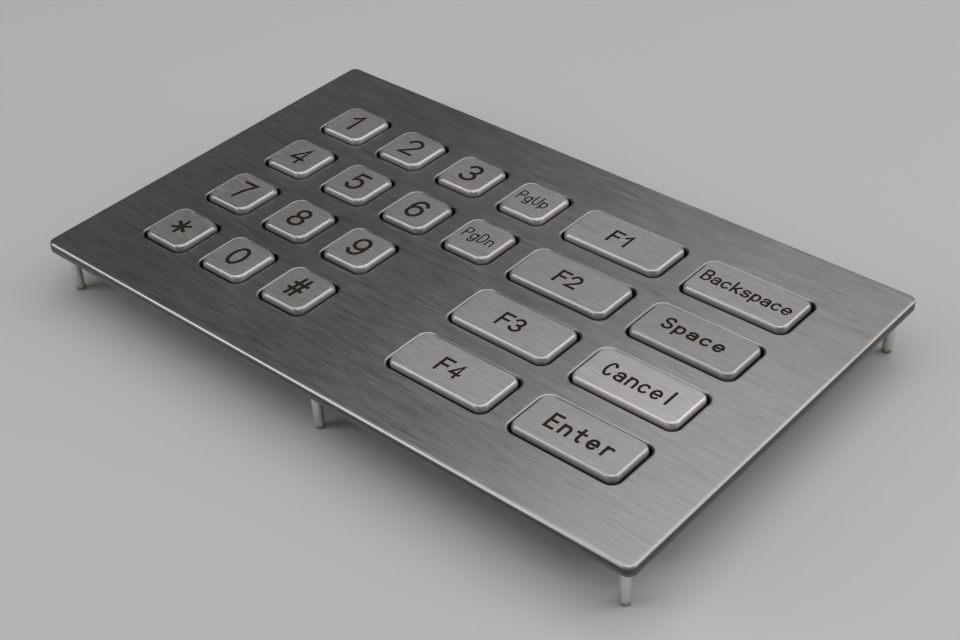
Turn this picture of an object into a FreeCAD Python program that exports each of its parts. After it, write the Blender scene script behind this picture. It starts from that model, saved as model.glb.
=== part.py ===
import FreeCAD, Part
import os
from collections import namedtuple
from math import pi

import Sketcher
from FreeCAD import Vector

# Panel-mount keypad: a steel front plate on welded studs, 22 steel keys, and behind them the guide,
# the silicone mat, the snap domes, the circuit board and a rear tray.
# Millimetres. +X runs along the plate's long side, +Y towards the top row of keys and +Z out of the
# front. The origin lies on the plane of the stud tips, under the middle of the plate.

doc = FreeCAD.newDocument("PanelKeypad")
sheet = doc.addObject("Spreadsheet::Sheet", "Dims")

DIMENSIONS = {
    # front plate and the studs welded to its back
    "plate_length": 174,
    "plate_width": 106,
    "plate_thickness": 2.5,
    "plate_corner": 2,
    "plate_round": 0.8,
    "stud_length": 12,
    "stud_diameter": 2.5,
    "stud_inset": 4,
    "stud_tip_round": 0.6,
    "weld_flange_diameter": 3.6,
    "weld_flange_height": 0.6,
    # keys: square ones on a square pitch, wide ones longer by wide_extra
    "key_pitch": 20,
    "wide_extra": 14,
    "key_side": 12.9,
    "key_corner": 2,
    "key_round": 0.65,
    "key_proud": 1.1,
    "key_gap": 0.7,
    "key_travel": 0.45,
    "window_corner": 2.5,
    "window_round": 0.6,
    "flange_lap": 1.05,
    "flange_thickness": 0.9,
    "flange_corner": 2.4,
    "free_gap": 0.05,
    # layers behind the plate, all inside one outline
    "stack_inset": 9,
    "stack_corner": 3,
    "guide_thickness": 2.1,
    "guide_clearance": 0.25,
    "mat_thickness": 0.8,
    "mat_dome_diameter": 9,
    "mat_dome_taper": 40,
    "mat_cavity_diameter": 7.2,
    "mat_cavity_depth": 1.3,
    "mat_nub_diameter": 2.6,
    "spacer_thickness": 0.7,
    "spacer_hole_diameter": 9.4,
    "snap_dome_diameter": 8.4,
    "snap_dome_crown": 4.6,
    "snap_dome_thickness": 0.08,
    "board_thickness": 1.6,
    "board_clearance": 0.3,
    "component_space": 2,
    "tray_wall": 1,
    "gasket_inset": 6.6,
    "gasket_wall": 2,
    "gasket_thickness": 1.5,
    # threaded bosses welded to the plate, and what screws into them
    "boss_diameter": 4.2,
    "boss_bore": 2.6,
    "boss_roof": 0.8,
    "boss_x": 73.8,
    "boss_y": 39.8,
    "boss_clearance": 0.2,
    "screw_diameter": 2.5,
    "screw_clearance": 0.15,
    "cover_head_diameter": 4.7,
    "cover_head_height": 1.5,
    "cover_shank": 5.8,
    "board_head_diameter": 4.5,
    "board_head_height": 1.2,
    "board_shank": 3.8,
    "recess_span": 2.4,
    "recess_slot": 0.6,
    "recess_depth": 0.8,
    "washer_diameter": 5,
    "washer_thickness": 0.3,
    # cable socket on the board's back, and its pins
    "socket_y": -28,
    "socket_length": 17.9,
    "socket_width": 4.6,
    "socket_height": 5.6,
    "socket_wall": 0.7,
    "socket_floor": 1.4,
    "socket_corner": 0.3,
    "socket_opening_margin": 0.8,
    "pin_pitch": 2,
    "pin_side": 0.5,
    "pin_length": 5.2,
    # parts soldered to the board's back
    "chip_side": 10,
    "chip_height": 1.4,
    "lead_pitch": 0.8,
    "lead_width": 0.35,
    "lead_length": 1,
    "lead_thickness": 0.2,
    "crystal_length": 5,
    "crystal_width": 3.2,
    "crystal_height": 1.1,
    "passive_length": 2,
    "passive_width": 1.25,
    "resistor_height": 0.5,
    "capacitor_height": 1.1,
    "diode_length": 2.7,
    "diode_width": 1.6,
    "diode_height": 1.1,
    "insulator_length": 142,
    "insulator_width": 74,
    "insulator_thickness": 0.25,
}

for row, (alias, size) in enumerate(DIMENSIONS.items(), start=1):
    sheet.set(f"A{row}", alias)
    sheet.set(f"B{row}", str(size))
    sheet.setAlias(f"B{row}", alias)
doc.recompute()


def dim(text):
    """An expression over the sheet: every word in text is one of its aliases."""
    words = [f"Dims.{word}" if word in DIMENSIONS else word for word in text.split()]
    return "(" + " ".join(words) + ")"


def number(expression):
    """The value that an expression has now."""
    return float(sheet.evalExpression(expression))


# Heights of the faces between the layers.
PLATE_BACK = dim("stud_length")
MAT_FRONT = dim("stud_length - guide_thickness")
SPACER_FRONT = f"({MAT_FRONT} - {dim('mat_thickness')})"
BOARD_FRONT = f"({SPACER_FRONT} - {dim('spacer_thickness')})"
BOARD_BACK = f"({BOARD_FRONT} - {dim('board_thickness')})"
TRAY_FLOOR = f"({BOARD_BACK} - {dim('component_space')})"
TRAY_BACK = f"({TRAY_FLOOR} - {dim('tray_wall')})"

# A snap dome is just taller than the key's travel, so that it never goes quite flat.
SNAP_HEIGHT = dim("key_travel + free_gap")

# How far a face's points may lie from its plane and still count as on it.
FLAT = 1e-4

# A grid repeats a feature: its first place, then the number and step of columns and rows.
Grid = namedtuple("Grid", "x y columns step_x rows step_y")

WIDE_PITCH = dim("key_pitch + wide_extra")
PITCH = dim("key_pitch")
BOTTOM_ROW = dim("-1.5 * key_pitch")
DIGIT_KEYS = Grid(dim("-2.5 * key_pitch - wide_extra"), BOTTOM_ROW, 3, PITCH, 4, PITCH)
PAGE_KEYS = Grid(dim("0.5 * key_pitch - wide_extra"), dim("0.5 * key_pitch"), 1, PITCH, 2, PITCH)
WIDE_KEYS = Grid(dim("1.5 * key_pitch - 0.5 * wide_extra"), BOTTOM_ROW, 2, WIDE_PITCH, 4, PITCH)

# A wide key stands on two domes, one each side of its middle.
LEFT_DOMES = WIDE_KEYS._replace(x=dim("1.5 * key_pitch - wide_extra"))
RIGHT_DOMES = WIDE_KEYS._replace(x=dim("1.5 * key_pitch"))
DOME_GRIDS = {"Digit": DIGIT_KEYS, "Page": PAGE_KEYS, "Left": LEFT_DOMES, "Right": RIGHT_DOMES}

CORNER_BOSSES = Grid(dim("-1 * boss_x"), dim("-1 * boss_y"), 2, dim("2 * boss_x"), 2, dim("2 * boss_y"))
INNER_BOSSES = Grid(
    dim("-1 * key_pitch - wide_extra"),
    dim("-1 * key_pitch"),
    2,
    dim("3 * key_pitch + wide_extra"),
    2,
    dim("2 * key_pitch"),
)
BOSS_GRIDS = {"Corner": CORNER_BOSSES, "Inner": INNER_BOSSES}

# The cable socket and the controller stand behind the page keys' column, which has no lower keys.
SOCKET_X = PAGE_KEYS.x
SOCKET_PINS = Grid(dim("-3.5 * pin_pitch"), "0", 8, dim("pin_pitch"), 1, "1")
CHIP_X = PAGE_KEYS.x
CHIP_Y = "0"

ROWS_OF_LABELS = [
    ["1", "2", "3", "page_up", "f1", "backspace"],
    ["4", "5", "6", "page_down", "f2", "space"],
    ["7", "8", "9", None, "f3", "cancel"],
    ["star", "0", "hash", None, "f4", "enter"],
]


# ---- helpers -----------------------------------------------------------------------------------

def new_body(label, z="0", x="0", y="0"):
    """A body whose own origin stands at x, y, z."""
    body = doc.addObject("PartDesign::Body", label)
    body.Label = label
    for axis, expression in zip("xyz", (x, y, z)):
        body.setExpression(f"Placement.Base.{axis}", expression)
    return body


def new_sketch(body, name, plane="XY_Plane", x="0", y="0", z="0"):
    """A sketch on an origin plane, with its own origin moved by x, y and z along that plane's axes."""
    sketch = body.newObject("Sketcher::SketchObject", name)
    support = next(item for item in body.Origin.OriginFeatures if item.Role == plane)
    sketch.AttachmentSupport = [(support, "")]
    sketch.MapMode = "FlatFace"
    for axis, expression in zip("xyz", (x, y, z)):
        sketch.setExpression(f"AttachmentOffset.Base.{axis}", expression)
    return sketch


def bind(sketch, kind, places, expression):
    """A driving dimension whose value comes from the sheet."""
    index = sketch.addConstraint(Sketcher.Constraint(kind, *places, number(expression)))
    sketch.setExpression(f"Constraints[{index}]", expression)


def draw_rounded_rectangle(sketch, length, width, corner, x="0", y="0"):
    """Four sides and four quarter arcs, centred on x, y."""
    half_x, half_y, radius = number(length) / 2, number(width) / 2, number(corner)
    middle = Vector(number(x), number(y), 0)
    inner_x, inner_y = half_x - radius, half_y - radius
    ends = [
        (Vector(-inner_x, -half_y, 0), Vector(inner_x, -half_y, 0)),
        (Vector(half_x, -inner_y, 0), Vector(half_x, inner_y, 0)),
        (Vector(inner_x, half_y, 0), Vector(-inner_x, half_y, 0)),
        (Vector(-half_x, inner_y, 0), Vector(-half_x, -inner_y, 0)),
    ]
    centres = [(inner_x, -inner_y), (inner_x, inner_y), (-inner_x, inner_y), (-inner_x, -inner_y)]
    turns = [(-0.5, 0), (0, 0.5), (0.5, 1), (1, 1.5)]
    sides, arcs = [], []
    for (start, end), (centre_x, centre_y), (low, high) in zip(ends, centres, turns):
        sides.append(sketch.addGeometry(Part.LineSegment(middle + start, middle + end)))
        circle = Part.Circle(middle + Vector(centre_x, centre_y, 0), Vector(0, 0, 1), radius)
        arcs.append(sketch.addGeometry(Part.ArcOfCircle(circle, low * pi, high * pi)))
    for index in range(4):
        following = sides[(index + 1) % 4]
        sketch.addConstraint(Sketcher.Constraint("Tangent", sides[index], 2, arcs[index], 1))
        sketch.addConstraint(Sketcher.Constraint("Tangent", arcs[index], 2, following, 1))
        kind = "Horizontal" if index % 2 == 0 else "Vertical"
        sketch.addConstraint(Sketcher.Constraint(kind, sides[index]))
    for index in range(1, 4):
        sketch.addConstraint(Sketcher.Constraint("Equal", arcs[0], arcs[index]))
    bind(sketch, "Radius", (arcs[0],), corner)
    bind(sketch, "DistanceX", (sides[3], 1, sides[1], 1), length)
    bind(sketch, "DistanceY", (sides[0], 1, sides[2], 1), width)
    bind(sketch, "DistanceX", (-1, 1, sides[3], 1), f"({x} - {length} / 2)")
    bind(sketch, "DistanceY", (-1, 1, sides[0], 1), f"({y} - {width} / 2)")


def draw_circle(sketch, diameter, x="0", y="0"):
    centre = Vector(number(x), number(y), 0)
    circle = sketch.addGeometry(Part.Circle(centre, Vector(0, 0, 1), number(diameter) / 2))
    bind(sketch, "Diameter", (circle,), diameter)
    bind(sketch, "DistanceX", (-1, 1, circle, 3), x)
    bind(sketch, "DistanceY", (-1, 1, circle, 3), y)


def draw_polygon(sketch, points):
    """A closed outline of straight lines; points holds pairs of expressions."""
    corners = [Vector(number(x), number(y), 0) for x, y in points]
    count = len(corners)
    lines = []
    for index in range(count):
        line = Part.LineSegment(corners[index], corners[(index + 1) % count])
        lines.append(sketch.addGeometry(line))
    for index in range(count):
        following = lines[(index + 1) % count]
        sketch.addConstraint(Sketcher.Constraint("Coincident", lines[index], 2, following, 1))
    for line, (x, y) in zip(lines, points):
        bind(sketch, "DistanceX", (-1, 1, line, 1), x)
        bind(sketch, "DistanceY", (-1, 1, line, 1), y)


def add_pad(body, sketch, length, down=False, taper=None):
    pad = body.newObject("PartDesign::Pad", sketch.Name + "Pad")
    pad.Profile = sketch
    pad.setExpression("Length", length)
    pad.Reversed = down
    if taper:
        pad.setExpression("TaperAngle", taper)
    doc.recompute()
    return pad


def add_pocket(body, sketch, depth=None, up=False):
    """A cut from the sketch, as deep as depth or right through, downwards unless up is set."""
    before = body.Shape.Volume
    pocket = body.newObject("PartDesign::Pocket", sketch.Name + "Pocket")
    pocket.Profile = sketch
    pocket.Reversed = up
    if depth:
        pocket.setExpression("Length", depth)
    else:
        pocket.Type = "ThroughAll"
    doc.recompute()
    if body.Shape.Volume >= before:
        raise RuntimeError(f"{pocket.Name} cuts nothing")
    return pocket


def add_revolution(body, sketch):
    """A full turn about the sketch's own upright axis."""
    turned = body.newObject("PartDesign::Revolution", sketch.Name + "Turned")
    turned.Profile = sketch
    turned.ReferenceAxis = (sketch, ["V_Axis"])
    turned.Angle = 360
    doc.recompute()
    return turned


def repeat(body, features, grid, name):
    """Repeat features over a grid whose first place they already hold."""
    axes = {item.Role: item for item in body.Origin.OriginFeatures}
    pattern = body.newObject("PartDesign::LinearPattern", name)
    pattern.Originals = features
    pattern.Direction = (axes["Y_Axis"], [""])
    pattern.Occurrences = grid.rows
    pattern.setExpression("Length", f"({grid.rows - 1} * {grid.step_y})")
    if grid.columns > 1:
        pattern.Direction2 = (axes["X_Axis"], [""])
        pattern.Occurrences2 = grid.columns
        pattern.setExpression("Length2", f"({grid.columns - 1} * {grid.step_x})")
    body.Tip = pattern
    doc.recompute()
    return pattern


def round_edges(body, keep, radius, name):
    """Round those edges of the body for which keep, given an edge, is true."""
    base = body.Tip
    names = [f"Edge{index}" for index, edge in enumerate(base.Shape.Edges, start=1) if keep(edge)]
    rounded = body.newObject("PartDesign::Fillet", name)
    rounded.Base = (base, names)
    rounded.setExpression("Radius", radius)
    doc.recompute()
    return rounded


def lies_at(edge, height):
    """Whether an edge lies flat at this height of its body."""
    box = edge.BoundBox
    return abs(box.ZMin - height) < FLAT and abs(box.ZMax - height) < FLAT


def drill(body, grids, diameter, name, z="0"):
    """Round holes right through a layer, at every place of the named grids."""
    for place, grid in grids.items():
        sketch = new_sketch(body, f"{name}{place}", z=z)
        draw_circle(sketch, diameter, grid.x, grid.y)
        repeat(body, [add_pocket(body, sketch)], grid, f"{name}{place}Grid")


def cut_key_windows(body, margin, corner, name, z):
    """One rounded window per key, larger than the key by margin on every side."""
    side = f"({dim('key_side')} + 2 * {margin})"
    wide = f"({dim('key_side + wide_extra')} + 2 * {margin})"
    for block, grid, length in (
        ("Digit", DIGIT_KEYS, side),
        ("Page", PAGE_KEYS, side),
        ("Wide", WIDE_KEYS, wide),
    ):
        sketch = new_sketch(body, f"{name}{block}", z=z)
        draw_rounded_rectangle(sketch, length, side, corner, grid.x, grid.y)
        repeat(body, [add_pocket(body, sketch)], grid, f"{name}{block}Grid")


def stack_outline(sketch, inside="0"):
    """The outline that the layers behind the plate share, drawn smaller all round by inside."""
    length = f"({dim('plate_length - 2 * stack_inset')} - 2 * {inside})"
    width = f"({dim('plate_width - 2 * stack_inset')} - 2 * {inside})"
    draw_rounded_rectangle(sketch, length, width, f"({dim('stack_corner')} - {inside})")


# ---- front plate, studs, bosses and gasket --------------------------------------------------------

def front_plate():
    body = new_body("front_plate", z=PLATE_BACK)
    outline = new_sketch(body, "PlateOutline")
    draw_rounded_rectangle(outline, dim("plate_length"), dim("plate_width"), dim("plate_corner"))
    add_pad(body, outline, dim("plate_thickness"))
    top = dim("plate_thickness")
    cut_key_windows(body, dim("key_gap"), dim("window_corner"), "Window", top)
    front = number(top)
    reach_x = number(dim("3 * key_pitch + wide_extra"))
    reach_y = number(dim("2 * key_pitch"))

    def among_keys(edge):
        middle = edge.CenterOfMass
        return abs(middle.x) < reach_x and abs(middle.y) < reach_y

    round_edges(
        body, lambda edge: lies_at(edge, front) and among_keys(edge), dim("window_round"), "WindowRound"
    )
    round_edges(
        body, lambda edge: lies_at(edge, front) and not among_keys(edge), dim("plate_round"), "RimRound"
    )
    return body


def mounting_studs():
    """Six smooth weld studs: one near each corner and one at the middle of each long side."""
    x = dim("stud_inset - plate_length / 2")
    y = dim("stud_inset - plate_width / 2")
    body = new_body("mounting_studs", x=x, y=y)
    profile = new_sketch(body, "StudProfile", plane="XZ_Plane")
    radius = dim("stud_diameter / 2")
    flange = dim("weld_flange_diameter / 2")
    shoulder = dim("stud_length - weld_flange_height")
    draw_polygon(profile, [
        ("0", "0"),
        (radius, "0"),
        (radius, shoulder),
        (flange, shoulder),
        (flange, dim("stud_length")),
        ("0", dim("stud_length")),
    ])
    add_revolution(body, profile)
    body.Tip = round_edges(body, lambda edge: lies_at(edge, 0), dim("stud_tip_round"), "StudTip")
    grid = Grid("0", "0", 3, dim("plate_length / 2 - stud_inset"), 2, dim("plate_width - 2 * stud_inset"))
    # The whole stud is repeated, its rounded tip with it.
    pattern = repeat(body, [], grid, "StudGrid")
    pattern.TransformMode = "Whole shape"
    doc.recompute()
    return body


def plate_bosses():
    """Threaded bosses on the plate's back; the layers hang on them. Their bores are drawn plain."""
    height = f"({PLATE_BACK} - {BOARD_FRONT})"
    body = new_body("plate_bosses", z=BOARD_FRONT)
    for place, grid in BOSS_GRIDS.items():
        outline = new_sketch(body, f"Boss{place}")
        draw_circle(outline, dim("boss_diameter"), grid.x, grid.y)
        draw_circle(outline, dim("boss_bore"), grid.x, grid.y)
        wall = add_pad(body, outline, f"({height} - {dim('boss_roof')})")
        roof = new_sketch(body, f"BossRoof{place}", z=f"({height} - {dim('boss_roof')})")
        draw_circle(roof, dim("boss_diameter"), grid.x, grid.y)
        repeat(body, [wall, add_pad(body, roof, dim("boss_roof"))], grid, f"Boss{place}Grid")
    return body


def plate_gasket():
    """Sealing ring between the plate's back and the machine's panel, inside the studs."""
    body = new_body("plate_gasket", z=f"({PLATE_BACK} - {dim('gasket_thickness')})")
    ring = new_sketch(body, "GasketRing")
    length = dim("plate_length - 2 * gasket_inset")
    width = dim("plate_width - 2 * gasket_inset")
    wall = dim("gasket_wall")
    corner = dim("stack_corner + gasket_wall")
    draw_rounded_rectangle(ring, length, width, corner)
    draw_rounded_rectangle(ring, f"({length} - 2 * {wall})", f"({width} - 2 * {wall})", dim("stack_corner"))
    add_pad(body, ring, dim("gasket_thickness"))
    return body


# ---- keys ---------------------------------------------------------------------------------------

def key_place(row, column):
    """Centre and length of the key in this row and column, as expressions."""
    if column < 3:
        grid, place, extra = DIGIT_KEYS, column, "0"
    elif column == 3:
        grid, place, extra = PAGE_KEYS, 0, "0"
    else:
        grid, place, extra = WIDE_KEYS, column - 4, dim("wide_extra")
    x = f"({grid.x} + {place} * {grid.step_x})"
    y = f"({BOTTOM_ROW} + {3 - row} * {PITCH})"
    return x, y, f"({dim('key_side')} + {extra})"


def key(label, row, column):
    """A solid steel cap on a flange that the plate's back holds in."""
    x, y, length = key_place(row, column)
    side = dim("key_side")
    lap = dim("key_gap + flange_lap")
    body = new_body(f"key_{label}", f"({PLATE_BACK} - {dim('free_gap + flange_thickness')})", x, y)
    flange = new_sketch(body, f"Flange_{label}")
    draw_rounded_rectangle(flange, f"({length} + 2 * {lap})", f"({side} + 2 * {lap})", dim("flange_corner"))
    add_pad(body, flange, dim("flange_thickness"))
    cap = new_sketch(body, f"Cap_{label}")
    draw_rounded_rectangle(cap, length, side, dim("key_corner"))
    height = dim("flange_thickness + free_gap + plate_thickness + key_proud")
    add_pad(body, cap, height)
    top = number(height)
    round_edges(body, lambda edge: lies_at(edge, top), dim("key_round"), f"CapRound_{label}")
    return body


def keys():
    made = []
    for row, labels in enumerate(ROWS_OF_LABELS):
        for column, label in enumerate(labels):
            if label:
                made.append(key(label, row, column))
    return made


# ---- layers behind the keys -----------------------------------------------------------------------

def key_guide():
    """Moulded frame whose pockets keep each key's flange square and level."""
    body = new_body("key_guide", z=MAT_FRONT)
    outline = new_sketch(body, "GuideOutline")
    stack_outline(outline)
    add_pad(body, outline, dim("guide_thickness"))
    top = dim("guide_thickness")
    margin = dim("key_gap + flange_lap + guide_clearance")
    cut_key_windows(body, margin, dim("flange_corner + guide_clearance"), "GuidePocket", top)
    drill(body, BOSS_GRIDS, dim("boss_diameter + 2 * boss_clearance"), "GuideHole", z=top)
    return body


def silicone_mat():
    """Sealing sheet with a hollow dome under each switch; a nub inside it presses the snap dome."""
    body = new_body("silicone_mat", z=SPACER_FRONT)
    outline = new_sketch(body, "MatOutline")
    stack_outline(outline)
    add_pad(body, outline, dim("mat_thickness"))
    rise = dim("guide_thickness - 2 * free_gap - flange_thickness")
    nub = f"({dim('spacer_thickness - free_gap')} - {SNAP_HEIGHT})"
    for block, grid in DOME_GRIDS.items():
        dome = new_sketch(body, f"Dome{block}", z=dim("mat_thickness"))
        draw_circle(dome, dim("mat_dome_diameter"), grid.x, grid.y)
        dome_pad = add_pad(body, dome, rise, taper=dim("-1 * mat_dome_taper"))
        cavity = new_sketch(body, f"Cavity{block}")
        draw_circle(cavity, dim("mat_cavity_diameter"), grid.x, grid.y)
        draw_circle(cavity, dim("mat_nub_diameter"), grid.x, grid.y)
        cavity_pocket = add_pocket(body, cavity, dim("mat_cavity_depth"), up=True)
        foot = new_sketch(body, f"Nub{block}")
        draw_circle(foot, dim("mat_nub_diameter"), grid.x, grid.y)
        foot_pad = add_pad(body, foot, nub, down=True)
        repeat(body, [dome_pad, cavity_pocket, foot_pad], grid, f"Dome{block}Grid")
    drill(body, BOSS_GRIDS, dim("boss_diameter + 2 * boss_clearance"), "MatHole", z=dim("mat_thickness"))
    return body


def dome_spacer():
    """Rigid sheet that holds the mat off the board, with a round hole for each snap dome."""
    body = new_body("dome_spacer", z=BOARD_FRONT)
    outline = new_sketch(body, "SpacerOutline")
    stack_outline(outline, dim("tray_wall + board_clearance"))
    add_pad(body, outline, dim("spacer_thickness"))
    top = dim("spacer_thickness")
    drill(body, DOME_GRIDS, dim("spacer_hole_diameter"), "SpacerHole", z=top)
    drill(body, BOSS_GRIDS, dim("boss_diameter + 2 * boss_clearance"), "SpacerBoss", z=top)
    return body


def snap_domes():
    """Thin steel snap domes, flat-crowned cones that stand on the board."""
    body = new_body("snap_domes", z=BOARD_FRONT)
    rim = dim("snap_dome_diameter / 2")
    crown = dim("snap_dome_crown / 2")
    skin = dim("snap_dome_thickness")
    # Along a shallow cone, a skin this thick moves the inner outline in by about three skins.
    inner_rim = dim("snap_dome_diameter / 2 - 3 * snap_dome_thickness")
    for block, grid in DOME_GRIDS.items():
        # The plane's normal points along -Y, so the sketch moves by -y to reach its row.
        profile = new_sketch(body, f"Snap{block}", "XZ_Plane", x=grid.x, z=f"(0 - {grid.y})")
        draw_polygon(profile, [
            (inner_rim, "0"),
            (rim, "0"),
            (crown, SNAP_HEIGHT),
            ("0", SNAP_HEIGHT),
            ("0", f"({SNAP_HEIGHT} - {skin})"),
            (f"({crown} - {skin} / 2)", f"({SNAP_HEIGHT} - {skin})"),
        ])
        repeat(body, [add_revolution(body, profile)], grid, f"Snap{block}Grid")
    return body


def circuit_board():
    body = new_body("circuit_board", z=BOARD_BACK)
    outline = new_sketch(body, "BoardOutline")
    stack_outline(outline, dim("tray_wall + board_clearance"))
    add_pad(body, outline, dim("board_thickness"))
    top = dim("board_thickness")
    drill(body, BOSS_GRIDS, dim("screw_diameter + 2 * screw_clearance"), "BoardHole", z=top)
    pins = SOCKET_PINS._replace(x=f"({SOCKET_X} + {SOCKET_PINS.x})", y=dim("socket_y"))
    drill(body, {"Pins": pins}, dim("1.6 * pin_side"), "Board", z=top)
    return body


# ---- parts on the board's back ----------------------------------------------------------------------

def soldered_block(label, length, width, height, grid):
    """One or more plain component bodies on the board's back, with slightly rounded corners."""
    body = new_body(label, z=BOARD_BACK)
    outline = new_sketch(body, f"{label}_outline")
    draw_rounded_rectangle(outline, length, width, dim("passive_width / 10"), grid.x, grid.y)
    block = add_pad(body, outline, height, down=True)
    if grid.columns * grid.rows > 1:
        repeat(body, [block], grid, f"{label}_grid")
    return body


def controller_leads():
    """Eleven flat feet on each side of the controller."""
    body = new_body("controller_leads", z=BOARD_BACK, x=CHIP_X, y=CHIP_Y)
    span = dim("chip_side + lead_length")
    first = dim("-5 * lead_pitch")
    edge = dim("-0.5 * chip_side - 0.5 * lead_length")
    tiny = dim("lead_width / 8")
    along_x = Grid(first, edge, 11, dim("lead_pitch"), 2, span)
    along_y = Grid(edge, first, 2, span, 11, dim("lead_pitch"))
    for name, grid, length, width in (
        ("LeadsX", along_x, dim("lead_width"), dim("lead_length")),
        ("LeadsY", along_y, dim("lead_length"), dim("lead_width")),
    ):
        foot = new_sketch(body, name)
        draw_rounded_rectangle(foot, length, width, tiny, grid.x, grid.y)
        repeat(body, [add_pad(body, foot, dim("lead_thickness"), down=True)], grid, f"{name}Grid")
    return body


def cable_socket():
    """Open-ended shrouded socket that looks out through the tray, with a keying slot in one side."""
    body = new_body("cable_socket", z=BOARD_BACK, x=SOCKET_X, y=dim("socket_y"))
    length, width, wall = dim("socket_length"), dim("socket_width"), dim("socket_wall")
    outline = new_sketch(body, "SocketOutline")
    draw_rounded_rectangle(outline, length, width, dim("socket_corner"))
    add_pad(body, outline, dim("socket_height"), down=True)
    mouth = new_sketch(body, "SocketMouth", z=dim("-1 * socket_height"))
    draw_rounded_rectangle(
        mouth, f"({length} - 2 * {wall})", f"({width} - 2 * {wall})", dim("socket_corner / 2")
    )
    add_pocket(body, mouth, dim("socket_height - socket_floor"), up=True)
    slot = new_sketch(body, "SocketSlot", z=dim("-1 * socket_height"))
    slot_y = f"(({width} - {wall}) / 2)"
    draw_rounded_rectangle(slot, dim("socket_length / 4"), wall, dim("socket_wall / 4"), y=slot_y)
    add_pocket(body, slot, dim("socket_height / 2"), up=True)
    holes = new_sketch(body, "SocketHole")
    side = dim("pin_side")
    draw_rounded_rectangle(holes, side, side, dim("pin_side / 20"), SOCKET_PINS.x)
    repeat(body, [add_pocket(body, holes)], SOCKET_PINS, "SocketHoleGrid")
    return body


def socket_pins():
    body = new_body("socket_pins", z=BOARD_FRONT, x=SOCKET_X, y=dim("socket_y"))
    pin = new_sketch(body, "Pin", z=dim("-1 * free_gap"))
    side = dim("pin_side")
    draw_rounded_rectangle(pin, side, side, dim("pin_side / 20"), SOCKET_PINS.x)
    repeat(body, [add_pad(body, pin, dim("pin_length"), down=True)], SOCKET_PINS, "PinGrid")
    return body


# ---- rear tray and fasteners --------------------------------------------------------------------------

def insulator_sheet():
    """Plastic film between the soldered side and the steel tray."""
    body = new_body("insulator_sheet", z=TRAY_FLOOR)
    outline = new_sketch(body, "FilmOutline")
    draw_rounded_rectangle(outline, dim("insulator_length"), dim("insulator_width"), dim("stack_corner"))
    add_pad(body, outline, dim("insulator_thickness"))
    cut_socket_opening(body, dim("insulator_thickness"), "Film")
    return body


def cut_socket_opening(body, z, name):
    opening = new_sketch(body, f"{name}SocketOpening", z=z)
    margin = dim("2 * socket_opening_margin")
    draw_rounded_rectangle(
        opening,
        f"({dim('socket_length')} + {margin})",
        f"({dim('socket_width')} + {margin})",
        dim("socket_opening_margin"),
        SOCKET_X,
        dim("socket_y"),
    )
    add_pocket(body, opening)


def rear_tray():
    """Folded steel tray that closes the back and clamps the mat's rim against the guide."""
    depth = f"({SPACER_FRONT} - {TRAY_BACK})"
    body = new_body("rear_tray", z=TRAY_BACK)
    outline = new_sketch(body, "TrayOutline")
    stack_outline(outline)
    add_pad(body, outline, depth)
    hollow = new_sketch(body, "TrayHollow", z=dim("tray_wall"))
    stack_outline(hollow, dim("tray_wall"))
    add_pocket(body, hollow, f"({depth} - {dim('tray_wall')})", up=True)
    cut_socket_opening(body, dim("tray_wall"), "Tray")
    drill(
        body, {"Corner": CORNER_BOSSES}, dim("screw_diameter + 2 * screw_clearance"), "TrayHole",
        z=dim("tray_wall"),
    )
    round_edges(body, lambda edge: lies_at(edge, 0) and edge.Length > 20, dim("tray_wall / 2"), "TrayBend")
    return body


def tube_group(label, grid, outer, inner, height, z):
    """Equal tubes or washers at every place of a grid."""
    body = new_body(label, z=z)
    ring = new_sketch(body, f"{label}_ring")
    draw_circle(ring, outer, grid.x, grid.y)
    draw_circle(ring, inner, grid.x, grid.y)
    repeat(body, [add_pad(body, ring, height)], grid, f"{label}_grid")
    return body


def screw_group(label, grid, head_diameter, head_height, shank, z):
    """Pan-head machine screws with a cross recess, head down, at every place of a grid."""
    body = new_body(label, z, grid.x, grid.y)
    profile = new_sketch(body, f"{label}_profile", plane="XZ_Plane")
    head = f"({head_diameter} / 2)"
    radius = dim("screw_diameter / 2")
    draw_polygon(profile, [
        ("0", "0"),
        (f"({head} * 0.7)", "0"),
        (head, f"({head_height} * 0.4)"),
        (head, head_height),
        (radius, head_height),
        (radius, f"({head_height} + {shank})"),
        ("0", f"({head_height} + {shank})"),
    ])
    turned = add_revolution(body, profile)
    long, short = dim("recess_span / 2"), dim("recess_slot / 2")
    cross = []
    for sign_x, sign_y in ((1, 1), (-1, 1), (-1, -1), (1, -1)):
        arm_x = (f"({sign_x} * {long})", f"({sign_y} * {short})")
        crotch = (f"({sign_x} * {short})", f"({sign_y} * {short})")
        arm_y = (f"({sign_x} * {short})", f"({sign_y} * {long})")
        corner = [arm_x, crotch, arm_y]
        cross += corner if sign_x * sign_y > 0 else corner[::-1]
    recess = new_sketch(body, f"{label}_recess")
    draw_polygon(recess, cross)
    cut = add_pocket(body, recess, dim("recess_depth"), up=True)
    repeat(body, [turned, cut], grid, f"{label}_grid")
    return body


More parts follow.
